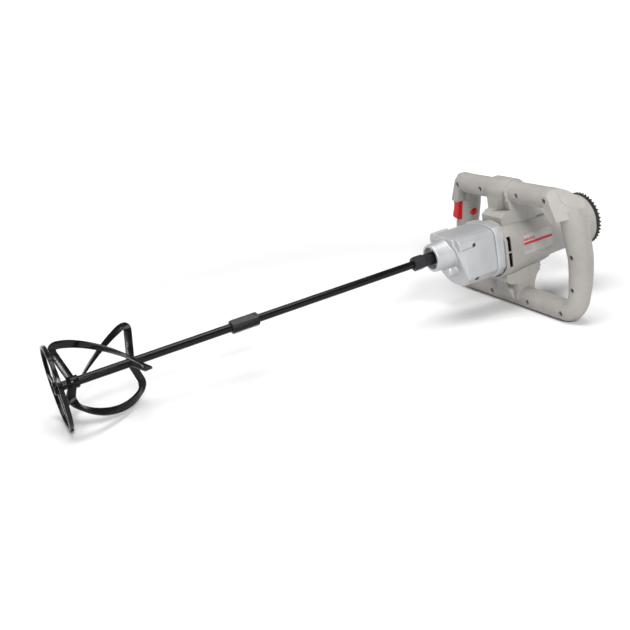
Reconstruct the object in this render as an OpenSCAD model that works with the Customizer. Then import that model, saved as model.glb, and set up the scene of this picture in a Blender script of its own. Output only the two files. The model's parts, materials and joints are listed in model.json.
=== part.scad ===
// Two-handed drill paint mixer, lying at rest on its handle frame and on the rim of its whisk.
// Machine frame of every sub-part: X along the spindle towards the whisk, Y across the beams
// towards the plain grip, Z from the lower beam to the upper beam, origin on the motor axis
// in the plane of the two beams. rest() then lays the machine down on Z = 0.

/* [Handle frame] */
// half the distance between the two beams
beam_h = 89.6; // [80:0.1:100]
// radius of the beam tubes
beam_r = 16.9; // [14:0.1:20]
// distance of each grip from the motor axis
grip_y = 145; // [125:1:160]
// how far the middle of a grip is swept back from the beams
grip_sweep = 16; // [12:0.5:18]
// how far the upper end of a grip leans in towards the motor
grip_lean = 14; // [10:0.5:16]
// radius of the upper half of a grip
grip_r_top = 20.2; // [19.5:0.1:21]
// radius of a grip at its lower end
grip_r_low = 16.3; // [14:0.1:18]
// bend radius of the frame corners
corner_r = 24; // [20:1:30]
// wall thickness of the plastic shells
wall = 3; // [2:0.1:4]

/* [Motor housing] */
// front end of the motor housing
motor_front = 44; // [40:1:50]
// rear end of the motor housing
motor_rear = -143; // [-150:1:-130]
// outside radius at the front
motor_r = 47; // [44:0.1:50]
// outside radius of the waist behind the handle
waist_r = 39; // [36:0.1:42]
// outside radius of the flared rear end
flare_r = 43.5; // [40:0.1:46]
// length of the black rear cover
cover_len = 9; // [7:0.5:14]

/* [Gearbox] */
// height of the spindle axis above the motor axis
spindle_z = 19.9; // [15:0.1:25]
// front end of the gearbox body
gear_front = 131; // [120:1:140]
// joint between gearbox and bearing plate
plate_front = 60; // [55:1:65]
// front end of the round nose
nose_end = 157; // [150:1:165]
// radius of the nose at its mouth
nose_r = 22; // [20:0.1:24]

/* [Gear train] */
// module of the first gear pair
mod_1 = 0.8; // [0.8:0.1:1]
// teeth of the motor pinion
teeth_motor = 10; // [9:1:12]
// teeth of the first wheel
teeth_wheel = 40; // [36:1:44]
// module of the second gear pair
mod_2 = 1; // [1:0.1:1.25]
// teeth of the layshaft pinion
teeth_lay = 10; // [9:1:12]
// teeth of the spindle wheel
teeth_out = 35; // [30:1:36]

/* [Shaft] */
// diameter of the upper shaft
upper_d = 12; // [10:0.1:14]
// diameter of the lower shaft
lower_d = 12.6; // [10:0.1:14]
// middle of the hexagonal coupling
coupling_x = 480; // [460:1:500]
// length of the hexagonal coupling
coupling_len = 43; // [35:1:50]
// width across the flats of the coupling
coupling_af = 19; // [17:0.5:22]

/* [Whisk] */
// outside radius of the end ring
ring_r = 60; // [50:1:70]
// middle plane of the end ring
ring_x = 755; // [720:1:780]
// width of the flat bar of the end ring
ring_w = 6; // [5:0.5:10]
// radial thickness of the flat bar of the end ring
ring_t = 4; // [3:0.5:6]
// width of the blade strip
strip_w = 11; // [8:0.5:14]
// thickness of the blade strip
strip_t = 3.5; // [3:0.1:5]
// angle that a blade turns through between its two arms
blade_turn = 116; // [100:1:130]
// where the rear arms leave the shaft
hub_rear_x = 652; // [640:1:660]
// where the front arms leave the shaft
hub_front_x = 733; // [720:1:740]
// how far the arms lean outwards from the middle of the whisk
arm_lean = 14.5; // [8:0.5:18]

/* [Hidden] */
$fn = 64;
eps = 0.01;
gap = 0.3;
fit = 0.05;
corner_tube_r = (beam_r + grip_r_low) / 2;
sweep_lean = 2 * atan(grip_sweep / (beam_h + corner_r));
sweep_r = (beam_h - corner_r * cos(sweep_lean)) / sin(sweep_lean);
ring_low_x = ring_x + ring_w / 2;
low_step = spindle_z - ring_r + beam_h;
rest_tilt = atan2(low_step, ring_low_x) + asin(beam_r / norm([ring_low_x, low_step]));
rest_lift = beam_h * cos(rest_tilt) + beam_r;
rest_front = ring_low_x * cos(rest_tilt) + (spindle_z + ring_r) * sin(rest_tilt);
rest_rear = (motor_rear - cover_len - 2) * cos(rest_tilt) - (waist_r - 1.9) * sin(rest_tilt);
lay_d1 = mod_1 * (teeth_motor + teeth_wheel) / 2;
lay_d2 = mod_2 * (teeth_lay + teeth_out) / 2;
lay_z = (lay_d1 * lay_d1 - lay_d2 * lay_d2 + spindle_z * spindle_z) / (2 * spindle_z);
lay_y = sqrt(lay_d1 * lay_d1 - lay_z * lay_z);
blade_r = ring_r - strip_w / 2;
blade_mid = (hub_rear_x + hub_front_x) / 2;
blade_half = (hub_front_x - hub_rear_x) / 2 + arm_lean;
blade_pitch = atan2(blade_half / sin(blade_turn / 2), blade_r);
// middle of a grip at half height, and where its upper half ends in the hand stop
grip_base = [-grip_sweep, grip_y, 0];
grip_top = [-grip_sweep - 4, grip_y - grip_lean, 64];
frame_screws_y = [46.4, 110.7];
low_screws_y = [46.4, 125.8];
grip_screws_z = [2, -50];
// middle of the lock button in the frame of its grip: [forwards, up]
button_place = [3, 37];
grey = [0.71, 0.69, 0.66];
silver = [0.76, 0.77, 0.78];
black = [0.04, 0.04, 0.045];
steel = [0.55, 0.55, 0.56];
red = [0.75, 0.05, 0.05];

// ---- helpers ----

// lays the machine frame down on the floor
module rest() {
    translate([-(rest_front + rest_rear) / 2, 0, rest_lift]) rotate([0, rest_tilt, 0]) children();
}

// cylinder along X from x0 to x1
module rod(x0, x1, r, y = 0, z = 0) {
    translate([x0, y, z]) rotate([0, 90, 0]) cylinder(r = r, h = x1 - x0);
}

// tube along X from x0 to x1
module pipe(x0, x1, r_out, r_in, y = 0, z = 0) {
    difference() {
        rod(x0, x1, r_out, y, z);
        rod(x0 - 1, x1 + 1, r_in, y, z);
    }
}

// hexagonal bar along X
module hex_bar(x0, x1, af, z = 0) {
    translate([x0, 0, z]) rotate([0, 90, 0]) rotate([0, 0, 30])
        cylinder(d = af / cos(30), h = x1 - x0, $fn = 6);
}

// cylinder along Y
module bar_y(y0, y1, r, x = 0, z = 0) {
    translate([x, y0, z]) rotate([-90, 0, 0]) cylinder(r = r, h = y1 - y0);
}

// extrudes an XZ outline along Y
module slab_y(y0, y1) {
    translate([0, y1, 0]) rotate([90, 0, 0]) linear_extrude(y1 - y0) children();
}

// extrudes a YZ outline along X
module slab_x(x0, x1) {
    translate([x0, 0, 0]) rotate([90, 0, 90]) linear_extrude(x1 - x0) children();
}

// both sides of the machine
module both_y() {
    children();
    mirror([0, 1, 0]) children();
}

// both ends of the handle frame
module both_z() {
    children();
    mirror([0, 0, 1]) children();
}

// involute gear outline centred on the origin, one tooth on +X
function inv_pt(rb, a) = [rb * (cos(a) + a * PI / 180 * sin(a)), rb * (sin(a) - a * PI / 180 * cos(a))];
function turn(p, a) = [p[0] * cos(a) - p[1] * sin(a), p[0] * sin(a) + p[1] * cos(a)];
function roll_at(rb, r) = r <= rb ? 0 : sqrt(r * r / (rb * rb) - 1) * 180 / PI;
function inv_ang(rb, r) = let (p = inv_pt(rb, roll_at(rb, r))) atan2(p[1], p[0]);
function flank(m, z, add, ded, slack) = let (
    rp = m * z / 2, rb = rp * cos(20), ro = rp + add * m, ri = rp - ded * m,
    half = 90 / z - slack / rp * 90 / PI + inv_ang(rb, rp))
    concat([turn([ri, 0], half)], [for (k = [0:4]) let (r = max(rb, ri) + (ro - max(rb, ri)) * k / 4)
        turn(turn([r, 0], -inv_ang(rb, r)), half)]);
module gear_2d(m, z, add = 0.6, ded = 1.2, slack = 0.12) {
    side = flank(m, z, add, ded, slack);
    n = len(side);
    polygon([for (t = [0:z - 1]) each [
        for (k = [0:n - 1]) turn([side[k][0], -side[k][1]], t * 360 / z),
        for (k = [n - 1:-1:0]) turn(side[k], t * 360 / z)]]);
}

// ball bearing along X
module bearing(x0, x1, r_out, r_in, y = 0, z = 0) {
    t = (r_out - r_in) / 3.4;
    pipe(x0, x1, r_out, r_out - t, y, z);
    pipe(x0, x1, r_in + t, r_in, y, z);
    pipe(x0 + 0.8, x1 - 0.8, r_out - t + eps, r_in + t - eps, y, z);
}

// ---- handle frame ----

// sweep of the lower half of a grip behind the beams at height z
function sweep_at(z) = sweep_r - grip_sweep - sqrt(sweep_r * sweep_r - z * z);

// lower end and radius of the bands that thicken a grip upwards
bands = [[-64, 17.3], [-44, 18], [-20, 18.9]];
function grip_rad(z) = max([for (b = bands) z > b[0] ? b[1] : grip_r_low]);

// part of the curved lower half of a grip, from height z0 to z1
module grip_arc(r, z0, z1) {
    a0 = asin(z0 / sweep_r);
    a1 = asin(z1 / sweep_r);
    translate([sweep_r - grip_sweep, grip_y, 0]) rotate([90, 0, 0]) rotate([0, 0, 180 - a1])
        rotate_extrude(angle = a1 - a0) translate([sweep_r, 0]) circle(r = r);
}

// frame of the straight upper half of a grip: X forwards, Y outwards, Z up along the grip
module along_grip() {
    d = grip_top - grip_base;
    translate(grip_base) rotate([asin(-d[1] / norm(d)), atan2(d[0], d[2]), 0]) children();
}

// the same frame on the side of the trigger
module along_trigger_grip() {
    mirror([0, 1, 0]) along_grip() children();
}

// one grip with the tube corner below it, t inside their surface
module grip_tube(t) {
    grip_arc(grip_r_low - t, -sweep_r * sin(sweep_lean) - 1, 6);
    along_grip() translate([0, 0, t - 6])
        cylinder(r = grip_r_top - t, h = norm(grip_top - grip_base) + 8 - t);
    mirror([0, 0, 1]) translate([0, grip_y - corner_r, beam_h]) rotate([0, sweep_lean, 0])
        translate([0, 0, -corner_r]) rotate([0, -90, 0]) rotate_extrude(angle = 93)
            translate([corner_r, 0]) circle(r = corner_tube_r - t);
}

// moves the corners of an outline inwards by t
function inset(line, middle, t) = [for (p = line) p - (p - middle) * t / norm(p - middle)];

// bevelled hand stop that joins a grip to the upper beam, t inside its surface
module hand_stop(t) {
    side = [[-40, 54], [16, 54], [16, 97], [8, 106.5], [-9, 106.5], [-36, 80]];
    outer = [[153, 62], [150, 75], [145, 86], [137, 96], [127, 103], [117, 106.5], [104, 106.5]];
    rear = concat([[103, 88], [109, 59], [134, 57]], outer);
    front = concat([[106, 85], [120.5, 55.6], [136, 59.3]], outer);
    intersection() {
        slab_y(90, 160) polygon(inset(side, [-10, 80], t));
        union() {
            slab_x(-45, -2 - t) polygon(inset(rear, [128, 82], t));
            slab_x(-4 - t, 20) polygon(inset(front, [128, 82], t));
        }
        rotate([0, -23.4, 64.5]) translate([142.5 - 300 - t, -150, -150]) cube([300, 300, 300]);
    }
}

// column that joins a beam to the motor housing, t inside its surface
module neck(t, bulge) {
    bar_y(-24 + t, 24 - t, beam_r + bulge - t, 0, beam_h);
    slab_y(-23 + t, 23 - t)
        polygon([[20 - t, beam_h], [20 - t, 60], [-21 + t, 60], [-21 + t, beam_h]]);
    slab_y(-25 + t, 25 - t) polygon([[34 - t, 34], [34 - t, 55 - t], [26 - t, 61 - t],
        [-24 + t, 61 - t], [-33 + t, 55 - t], [-33 + t, 34]]);
}

// collars that thicken a grip step by step
module grip_bands() {
    for (b = bands) grip_arc(b[1], b[0], 4);
}

module frame_solid(t) {
    bar_y(t - 114, 114 - t, beam_r - t, 0, beam_h);
    bar_y(corner_r - grip_y, grip_y - corner_r, beam_r - t, 0, -beam_h);
    neck(t, 4.2);
    mirror([0, 0, 1]) neck(t, 0);
    both_y() {
        grip_tube(t);
        hand_stop(t);
    }
}

// everything in front of the parting surface of the two shells, slack back from it
module front_side(slack) {
    seam = concat([for (z = [-112:8:0]) [sweep_at(z), z]],
        [[grip_top[0], grip_top[2]], [0, beam_h - 4], [0, 120]]);
    slab_y(-grip_y - 40, grip_y + 40)
        polygon(concat([for (p = seam) [p[0] + slack, p[1]]], [[90, 120], [90, -112]]));
}

// places of the handle screws: [x of the shell surface, y, z, radius of the tube there]
function screw_spots() = concat(
    [for (s = [-1, 1], y = frame_screws_y) [beam_r, s * y, beam_h, beam_r]],
    [for (s = [-1, 1], y = low_screws_y) [beam_r, s * y, -beam_h, beam_r]],
    [for (s = [-1, 1], z = grip_screws_z) let (r = z > 0 ? grip_r_top : grip_rad(z))
        [sweep_at(z) + r, s * grip_y, z, r]]);

module at_screws() {
    for (p = screw_spots()) translate([p[0], p[1], p[2]]) rotate([0, -90, 0]) children();
}

// clamshell of the handle with its screw pillars, before it is split
module handle_shell() {
    difference() {
        union() {
            difference() {
                union() {
                    frame_solid(0);
                    both_y() grip_bands();
                }
                frame_solid(wall);
            }
            for (p = screw_spots()) translate([p[0], p[1], p[2]]) rotate([0, -90, 0])
                translate([0, 0, 2.2]) cylinder(r = 5, h = 2 * p[3] - 4.4);
            along_trigger_grip() for (z = [22, 40]) translate([-17, -7.5, z]) cube([4.95, 15, 3]);
        }
        at_screws() {
            translate([0, 0, -12]) cylinder(r = 3.4, h = 19);
            translate([0, 0, 5]) cylinder(r = 2.05, h = beam_r + 8);
        }
        motor_solid(-gap, motor_rear, motor_front + 1);
        neck_recess(62.5, 88);
        neck_recess(-62.5, -86);
        trigger_cut();
    }
}

// shallow triangular notch in the front of a neck, from its wide end at z0 to its tip at z1
module neck_recess(z0, z1) {
    translate([18.4, 0, 0]) slab_x(0, 30) polygon([[-2.5, z0], [21.5, z0], [20, z1]]);
}

// room for the trigger, the lock button and the cable gland
module trigger_cut() {
    along_trigger_grip() {
        translate([2, -7.3, 20.7]) cube([40, 14.6, 35.6]);
        bar_y(-30, -9, 6.5, button_place[0], button_place[1]);
    }
    bar_y(-grip_y - 30, -grip_y + 8, 7.05, 0, -beam_h);
}

module handle_front_shell() {
    color(grey) rest() intersection() {
        handle_shell();
        front_side(gap / 2);
    }
}

module handle_rear_shell() {
    color(grey) rest() difference() {
        handle_shell();
        front_side(-gap / 2);
    }
}

// pan head screws that hold the two shells together
module handle_screws() {
    color(steel) rest() at_screws() {
        difference() {
            translate([0, 0, 4.8]) cylinder(r = 3.3, h = 2.2);
            translate([0, 0, 4]) cylinder(r = 1.5, h = 2, $fn = 6);
        }
        translate([0, 0, 7 - eps]) cylinder(r = 2, h = beam_r + 4);
    }
}

module cable_gland() {
    y0 = -grip_y - 20;
    color(black) rest() difference() {
        union() {
            bar_y(y0, -grip_y - 1, 7, 0, -beam_h);
            bar_y(y0 + 1, y0 + 7, 9, 0, -beam_h);
        }
        bar_y(y0 - 4, -grip_y + 8, 4, 0, -beam_h);
        bar_y(y0 + 6.5, -grip_y + 8, 5.2, 0, -beam_h);
    }
}

module trigger() {
    color(red) rest() along_trigger_grip() difference() {
        slab_y(-7, 7) polygon([[9, 22], [25.5, 21.4], [27.8, 23], [28, 29], [26.4, 39], [26.6, 47],
            [28, 53.5], [27, 55], [9, 55]]);
        slab_y(-4.5, 4.5) polygon([[8, 24.5], [23.5, 24.5], [23, 52.5], [8, 52.5]]);
    }
}

module lock_button() {
    color(red) rest() along_trigger_grip() {
        bar_y(-22.4, -14, 6.2, button_place[0], button_place[1]);
        bar_y(-14 - eps, -11, 3, button_place[0], button_place[1]);
    }
}

module switch_body() {
    color(black) rest() along_trigger_grip() {
        translate([-12, -7.5, 20]) cube([15, 15, 26]);
        translate([3 - eps, -3, 33]) cube([14, 6, 8]);
    }
}

// ---- motor ----

// half outline of the motor housing, t inside its surface
function motor_line(t) = [
    [motor_front, motor_r - t], [20, motor_r - t], [-9, 45.6 - t], [-38, 45 - t], [-52, 43.2 - t],
    [-57, waist_r + 1 - t], [-95, waist_r - t], [-112, waist_r + 0.5 - t], [motor_rear, flare_r - t]];

module motor_solid(t, x0, x1) {
    line = motor_line(t);
    n = len(line);
    side = [for (k = [n - 2:-1:1]) [line[k][1], line[k][0]]];
    intersection() {
        rotate([0, 90, 0]) rotate_extrude()
            polygon(concat([[0, x0], [line[n - 1][1], x0]], side, [[line[0][1], x1], [0, x1]]));
        translate([x0 - 1, -43 + t, -60]) cube([x1 - x0 + 2, 86 - 2 * t, 120]);
    }
}

module motor_housing() {
    color(grey) rest() difference() {
        union() {
            difference() {
                motor_solid(0, motor_rear, motor_front);
                motor_solid(wall, motor_rear - 1, motor_front + 1);
            }
            rod(-84, -78, waist_r - 1);
            for (a = [60, 180, 300]) rotate([a, 0, 0]) rod(motor_rear + 1, -80, 4, 0, waist_r - 5);
        }
        rod(-85, -77, 9.5 + fit);
        for (a = [0:60:300]) rotate([a, 0, 0]) rod(-85, -77, 6, 0, 22);
        for (s = [-1, 1], z = [-24, 2.5]) translate([32, s * 42 - 8, z]) cube([7, 16, 25]);
        for (a = [60, 180, 300]) rotate([a, 0, 0]) rod(motor_rear, motor_rear + 13, 1.6, 0, waist_r - 5);
    }
}

// black vent cover with ribs round its edge
module rear_cover() {
    x0 = motor_rear - cover_len;
    color(black) rest() difference() {
        union() {
            rod(x0, motor_rear, flare_r);
            for (a = [0:9:351]) rotate([a, 0, 0])
                translate([x0, -1.6, flare_r - 2]) cube([cover_len - 1.5, 3.2, 4]);
        }
        rod(x0 + 3, motor_rear + 1, flare_r - 5);
        for (k = [-3:3]) translate([x0 - 1, -27, k * 8 - 1.7]) cube([5, 54, 3.4]);
        for (a = [60, 180, 300]) rotate([a, 0, 0]) rod(x0 - 1, x0 + 4, 1.8, 0, waist_r - 5);
    }
}

module rear_cover_screws() {
    x0 = motor_rear - cover_len;
    color(steel) rest() for (a = [60, 180, 300]) rotate([a, 0, 0]) {
        difference() {
            rod(x0 - 2, x0, 3.1, 0, waist_r - 5);
            translate([x0 - 3, 0, waist_r - 5]) rotate([0, 90, 0]) cylinder(r = 1.4, h = 2, $fn = 6);
        }
        rod(x0 - eps, motor_rear + 12, 1.5, 0, waist_r - 5);
    }
}

// thin label that follows the side of the motor housing
module rating_label() {
    color([0.8, 0.8, 0.78]) rest() intersection() {
        difference() {
            motor_solid(-0.35, motor_rear, motor_front);
            motor_solid(-0.05, motor_rear - 1, motor_front + 1);
        }
        translate([-50, 20, -10]) cube([58, 40, 31]);
    }
}

module slot_2d(t) {
    polygon([[24.3 + t, 12 - t], [32 - t, 12 - t], [35 - t, 0], [32 - t, t - 12], [24.3 + t, t - 12]]);
}

module stator_core() {
    color(steel) rest() difference() {
        intersection() {
            rod(-36, 14, 41.6);
            translate([-40, -39.6, -45]) cube([60, 79.2, 90]);
        }
        rod(-37, 15, 22.6);
        both_y() slab_x(-37, 15) slot_2d(0);
    }
}

module stator_coils() {
    color([0.55, 0.27, 0.12]) rest() both_y() {
        for (x = [-44, 14.2]) difference() {
            slab_x(x, x + 7.8) polygon([[16, 24], [31, 22], [36, 0], [31, -22], [16, -24]]);
            rod(x - 1, x + 9, 23);
        }
        slab_x(-37, 15) slot_2d(0.3);
    }
}

module brush_holders() {
    color([0.75, 0.6, 0.25]) rest() both_y() difference() {
        translate([-78, 17, -6]) cube([26, 16, 12]);
        translate([-63.05, 15, -3.55]) cube([8.1, 20, 7.1]);
    }
}

module brushes() {
    color([0.12, 0.12, 0.12]) rest() both_y() difference() {
        translate([-63, 13, -3.5]) cube([8, 15, 7]);
        rod(-70, -50, 14.35);
    }
}

module armature_shaft() {
    color(steel) rest() {
        rod(-92, 64, 4);
        gear(64 - eps, 76, mod_1, teeth_motor, 0, 0, lay_dir + 180 / teeth_motor);
    }
}

module armature_core() {
    color([0.35, 0.35, 0.37]) rest() difference() {
        union() {
            rod(-34, 12, 22);
            rod(-42, -34 + eps, 17);
            rod(12 - eps, 20, 17);
        }
        rod(-43, 21, 4 + fit);
        for (a = [0:30:330]) rotate([a, 0, 0]) translate([-35, -1, 18.5]) cube([48, 2, 5]);
    }
}

module commutator() {
    color([0.72, 0.42, 0.2]) rest() difference() {
        rod(-68, -44, 14);
        rod(-69, -43, 4 + fit);
        for (a = [0:15:345]) rotate([a, 0, 0]) translate([-69, -0.3, 13]) cube([22, 0.6, 2]);
    }
}

module cooling_fan() {
    color([0.1, 0.1, 0.1]) rest() {
        pipe(27, 29.5, 37, 4 + fit);
        pipe(29.5 - eps, 38, 9, 4 + fit);
        for (a = [0:30:330]) rotate([a, 0, 0]) translate([29.5 - eps, -0.8, 12]) cube([8, 1.6, 24]);
    }
}

module motor_bearings() {
    color(steel) rest() {
        bearing(46, 52, 9.5, 4 + fit);
        bearing(-84, -78, 9.5, 4 + fit);
    }
}

// ---- gearbox ----

// half outline of the gearbox section, t inside its surface
function gear_line(t) = [
    [0, 48 - t], [20, 47.6 - t], [33 - t / 2, 45 - t], [39.5 - t, 37 - t / 2], [40 - t, 0], [39 - t, -20],
    [27 - t / 2, -33 + t], [12, -38 + t], [0, -39 + t]];

module gear_section(t) {
    line = gear_line(t);
    polygon(concat(line, [for (k = [len(line) - 2:-1:1]) [-line[k][0], line[k][1]]]));
}

// wedge that slopes the front of the gearbox back towards its underside
module front_slope(t) {
    slab_y(-60, 60) polygon([[-200, -80], [gear_front - 26 - t, -80], [gear_front - 15 - t, -26],
        [gear_front - 3 - t, 30], [gear_front - t, 36], [gear_front - t, 80], [-200, 80]]);
}

// screw axes at the gearbox corners: [x of the head seat, y, z]
gear_screws = [for (s = [-1, 1]) each
    [[gear_front - 34, s * 34.5, 33], [gear_front - 36, s * 30.5, -24.5]]];

module gearbox_housing() {
    color(silver) rest() difference() {
        union() {
            intersection() {
                slab_x(plate_front, gear_front) gear_section(0);
                front_slope(0);
            }
            translate([gear_front - 14, 0, spindle_z]) rotate([0, 90, 0])
                cylinder(r1 = nose_r + 3.4, r2 = nose_r, h = nose_end - gear_front + 14);
            rod(gear_front - 26, gear_front - 4, 9, lay_y, -12);
            both_y() slab_x(gear_front - 32, gear_front - 2)
                polygon([[24, 45], [31, 48.6], [38, 46.6], [42, 40], [42, 31], [38, 28]]);
        }
        difference() {
            intersection() {
                slab_x(plate_front - 1, gear_front) gear_section(4);
                front_slope(7);
            }
            for (p = gear_screws) rod(0, gear_front, 5, p[1], p[2]);
        }
        rod(gear_front - 14, nose_end - 14, 16 + fit, 0, spindle_z);
        rod(nose_end - 15, nose_end - 9, 11 + fit, 0, spindle_z);
        rod(nose_end - 9 - eps, nose_end + 1, nose_r - 5, 0, spindle_z);
        rod(gear_front - 18, gear_front - 10, 6.5 + fit, lay_y, lay_z);
        for (p = gear_screws) {
            rod(0, p[0] + 1, 2.05, p[1], p[2]);
            rod(p[0], p[0] + 9, 3.8, p[1], p[2]);
            translate([p[0], p[1] - (p[1] < 0 ? 15 : 0), p[2] - 3.8]) cube([9, 15, 7.6]);
        }
    }
}

module gearbox_screws() {
    color(steel) rest() for (p = gear_screws) {
        rod(plate_front - 12, p[0] + eps, 2, p[1], p[2]);
        difference() {
            rod(p[0], p[0] + 4, 3.4, p[1], p[2]);
            translate([p[0] + 2, p[1], p[2]]) rotate([0, 90, 0]) cylinder(r = 1.6, h = 3, $fn = 6);
        }
    }
}

// plate between motor and gears that carries the rear bearings
module bearing_plate() {
    color(silver) rest() difference() {
        slab_x(motor_front, plate_front) gear_section(-0.6);
        difference() {
            rod(motor_front - 1, motor_front + 3, 37);
            rod(motor_front - 2, motor_front + 4, 13);
        }
        rod(motor_front - 1, 52, 9.5 + fit);
        rod(50, plate_front + 1, 4.6);
        rod(53, plate_front + 1, 6.5 + fit, lay_y, lay_z);
        rod(52, plate_front + 1, 8 + fit, 0, spindle_z);
        for (p = gear_screws) rod(plate_front - 13, plate_front + 1, 2.05, p[1], p[2]);
    }
}

module nose_seal() {
    color(black) rest() pipe(nose_end - 15, nose_end - 9.5, 11, 8.5 + fit, 0, spindle_z);
}

module spindle_bearings() {
    color(steel) rest() {
        bearing(52, 59, 8, 5 + fit, 0, spindle_z);
        bearing(gear_front - 13, gear_front - 2, 16, 7.5 + fit, 0, spindle_z);
        bearing(gear_front, gear_front + 11, 16, 7.5 + fit, 0, spindle_z);
    }
}

module layshaft_bearings() {
    color(steel) rest() {
        bearing(53.5, 59.5, 6.5, 3.5 + fit, lay_y, lay_z);
        bearing(gear_front - 17, gear_front - 11, 6.5, 3.5 + fit, lay_y, lay_z);
    }
}

// ---- gear train ----

// direction from the motor axis to the layshaft, and from the layshaft to the spindle
lay_dir = atan2(lay_z, lay_y);
out_dir = atan2(spindle_z - lay_z, -lay_y);

// gear along X with one tooth pointing in direction a
module gear(x0, x1, m, z, y0, z0, a, hole = 0) {
    translate([x0, y0, z0]) rotate([90, 0, 90]) difference() {
        linear_extrude(x1 - x0) rotate([0, 0, a]) gear_2d(m, z);
        if (hole > 0) translate([0, 0, -1]) cylinder(r = hole, h = x1 - x0 + 2);
    }
}

module layshaft() {
    color(steel) rest() {
        rod(54, 81, 3.5, lay_y, lay_z);
        rod(98 - eps, gear_front - 11, 3.5, lay_y, lay_z);
        gear(81 - eps, 98, mod_2, teeth_lay, lay_y, lay_z, out_dir);
    }
}

module layshaft_wheel() {
    color(steel) rest() difference() {
        union() {
            gear(65, 75, mod_1, teeth_wheel, lay_y, lay_z, lay_dir + 180);
            rod(75 - eps, 78, 7, lay_y, lay_z);
        }
        rod(64, 79, 3.5 + fit, lay_y, lay_z);
        for (a = [0:60:300]) translate([0, lay_y, lay_z]) rotate([a, 0, 0]) rod(64, 76, 3, 0, 10.5);
    }
}

module spindle_wheel() {
    color(steel) rest() difference() {
        union() {
            gear(83, 96, mod_2, teeth_out, 0, spindle_z, out_dir + 180 + 180 / teeth_out);
            rod(96 - eps, 100, 11, 0, spindle_z);
        }
        rod(82, 101, 7 + fit, 0, spindle_z);
        for (a = [0:60:300]) translate([0, 0, spindle_z]) rotate([a, 0, 0]) rod(82, 95, 2, 0, 12.5);
    }
}

// ---- spindle and shafts ----

module spindle() {
    color(black) rest() difference() {
        union() {
            rod(52, 80, 5, 0, spindle_z);
            rod(80 - eps, gear_front - 13, 7, 0, spindle_z);
            rod(gear_front - 13 - eps, nose_end - 14, 7.5, 0, spindle_z);
            rod(nose_end - 15 + fit, nose_end - 7, 8.5, 0, spindle_z);
            rod(nose_end - 7 - eps, nose_end + 15, 10, 0, spindle_z);
        }
        rod(nose_end - 9, nose_end + 16, upper_d / 2 + fit, 0, spindle_z);
    }
}

// hexagon with turned ends
module hex_turned(x0, x1, af) {
    intersection() {
        hex_bar(x0, x1, af, spindle_z);
        translate([x0, 0, spindle_z]) rotate([0, 90, 0]) rotate_extrude()
            polygon([[0, 0], [af * 0.47, 0], [af * 0.59, 2], [af * 0.59, x1 - x0 - 2], [af * 0.47, x1 - x0],
                [0, x1 - x0]]);
    }
}

module chuck_nut() {
    color(black) rest() difference() {
        hex_turned(nose_end + 15, nose_end + 33, 21);
        rod(nose_end + 14, nose_end + 34, upper_d / 2 + fit, 0, spindle_z);
    }
}

module upper_shaft() {
    color(black) rest() rod(nose_end - 8, coupling_x - 1, upper_d / 2, 0, spindle_z);
}

module shaft_coupling() {
    x0 = coupling_x - coupling_len / 2;
    color([0.16, 0.16, 0.17]) rest() difference() {
        hex_turned(x0, x0 + coupling_len, coupling_af);
        rod(x0 - 1, coupling_x, upper_d / 2 + fit, 0, spindle_z);
        rod(coupling_x - eps, x0 + coupling_len + 1, lower_d / 2 + fit, 0, spindle_z);
    }
}

module lower_shaft() {
    color(black) rest() rod(coupling_x + 1, ring_low_x + 1, lower_d / 2, 0, spindle_z);
}

// ---- whisk ----

module whisk_hub() {
    color(black) rest() pipe(hub_front_x - 8, hub_front_x + 8, 9, lower_d / 2 + fit, 0, spindle_z);
}

// flat arm that leans by dx on its way out to the blade, pointing to +Y
module arm(x, dx) {
    reach = norm([dx, blade_r]);
    translate([0, 0, -strip_t / 2]) linear_extrude(strip_t) {
        translate([x, 0]) rotate(atan2(blade_r, dx)) translate([2, -strip_w / 2])
            square([reach - 2, strip_w]);
        translate([x + dx, blade_r]) circle(d = strip_w);
    }
}

// curved strip between two arms, in a plane tilted across the shaft
module band() {
    h = blade_turn / 2;
    translate([blade_mid, 0, 0]) rotate([h, 0, 0]) intersection() {
        pipe(-80, 80, ring_r, ring_r - strip_w);
        rotate([0, blade_pitch, 0]) cube([strip_t, 200, 300], center = true);
        slab_x(-90, 90)
            polygon([[0, 0], [120 * cos(h), -120 * sin(h)], [150, 0], [120 * cos(h), 120 * sin(h)]]);
    }
}

module whisk_blades() {
    color(black) rest() difference() {
        translate([0, 0, spindle_z]) for (a = [0:120:240]) rotate([a, 0, 0]) {
            arm(hub_rear_x, -arm_lean);
            rotate([blade_turn, 0, 0]) arm(hub_front_x, arm_lean);
            band();
        }
        translate([ring_x - ring_w / 2 - fit, -80, -60]) cube([20, 160, 160]);
        rod(hub_rear_x - 30, hub_front_x + 30, lower_d / 2 + fit, 0, spindle_z);
        rod(hub_front_x - 8 - fit, hub_front_x + 8 + fit, 9 + fit, 0, spindle_z);
    }
}

module end_ring() {
    color(black) rest() pipe(ring_x - ring_w / 2, ring_low_x, ring_r, ring_r - ring_t, 0, spindle_z);
}

// boss on the end of the shaft with three flat spokes to the ring
module ring_spokes() {
    color(black) rest() translate([0, 0, spindle_z]) difference() {
        union() {
            rod(ring_x - 5, ring_x + 5, 9);
            for (a = [60:120:300]) rotate([a, 0, 0])
                translate([ring_x - 1.75, 0, -4]) cube([3.5, ring_r - ring_t - 0.1, 8]);
        }
        rod(ring_x - 6, ring_x + 6, lower_d / 2 + fit);
        pipe(ring_x - 10, ring_x + 10, ring_r + 4, ring_r - ring_t - 0.1);
    }
}

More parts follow.
